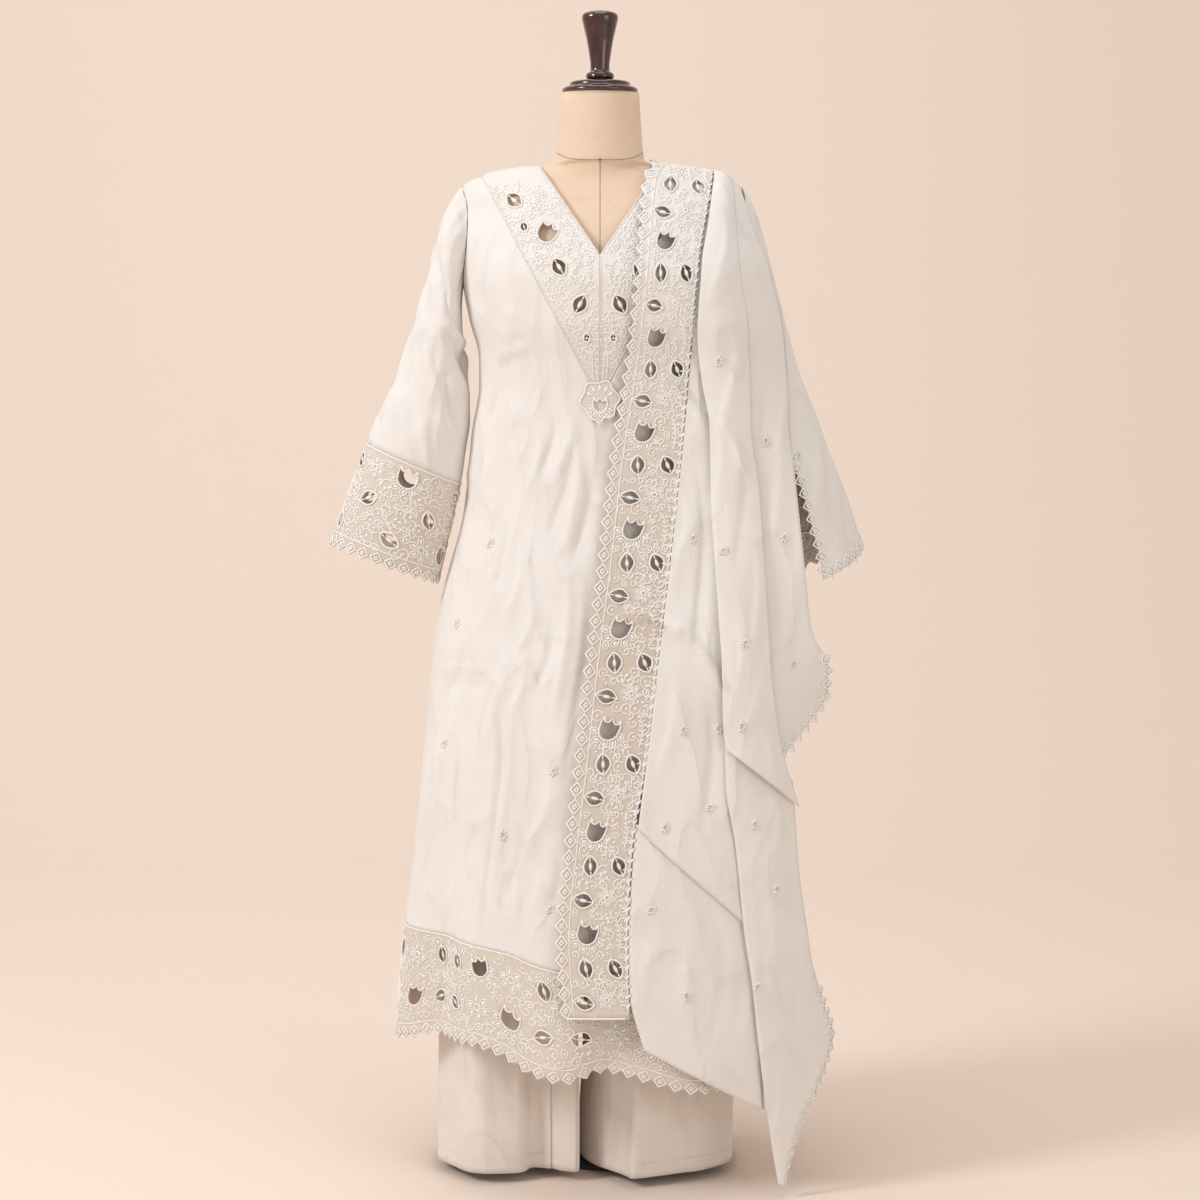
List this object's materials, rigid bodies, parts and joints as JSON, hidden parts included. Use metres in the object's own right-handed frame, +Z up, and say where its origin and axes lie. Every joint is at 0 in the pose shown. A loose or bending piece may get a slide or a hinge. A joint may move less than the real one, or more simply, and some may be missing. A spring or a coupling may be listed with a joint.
{
  "type": "salwar suit on dress form",
  "caption": "Long cutwork kurta with wide trousers and a dupatta draped over the left shoulder, shown worn on a limbless dress form on a pole stand.",
  "frame": {"origin": "on the underside of the stand's base, below the middle of the form", "axes": "+Z up, the front of the suit looks along -Y, +X is the wearer's left, where the dupatta hangs"},
  "size_m": [0.7424, 0.4823, 1.6085],
  "materials": {
    "form_linen": "woven",
    "mahogany": "glossy",
    "iron": "matt",
    "cotton": "woven",
    "lace": "cutwork",
    "trouser_cotton": "slub weave"
  },
  "bodies": {
    "root": {"form_body": "form_linen", "neck_cap": "mahogany", "finial": "mahogany", "stand_pole": "iron", "stand_base": "iron", "kurta_front": "cotton", "kurta_back": "cotton", "hem_lace_front": "lace", "hem_lace_back": "lace", "neck_lace_right": "lace", "neck_lace_left": "lace", "neck_flower": "lace", "kurta_sleeve_right": "cotton", "kurta_sleeve_left": "cotton", "cuff_lace_right_front": "lace", "cuff_lace_right_back": "lace", "cuff_lace_left_front": "lace", "cuff_lace_left_back": "lace", "trouser_leg_right": "trouser_cotton", "trouser_leg_left": "trouser_cotton", "trouser_waistband": "trouser_cotton", "dupatta_border_front": "lace", "dupatta_border_back": "lace", "dupatta_front_panel": "cotton", "dupatta_pleat": "cotton", "dupatta_lower_panel": "cotton", "dupatta_tail": "cotton", "dupatta_second_layer": "cotton", "dupatta_sleeve_layer": "cotton", "dupatta_back_panel": "cotton"}
  },
  "joints": []
}
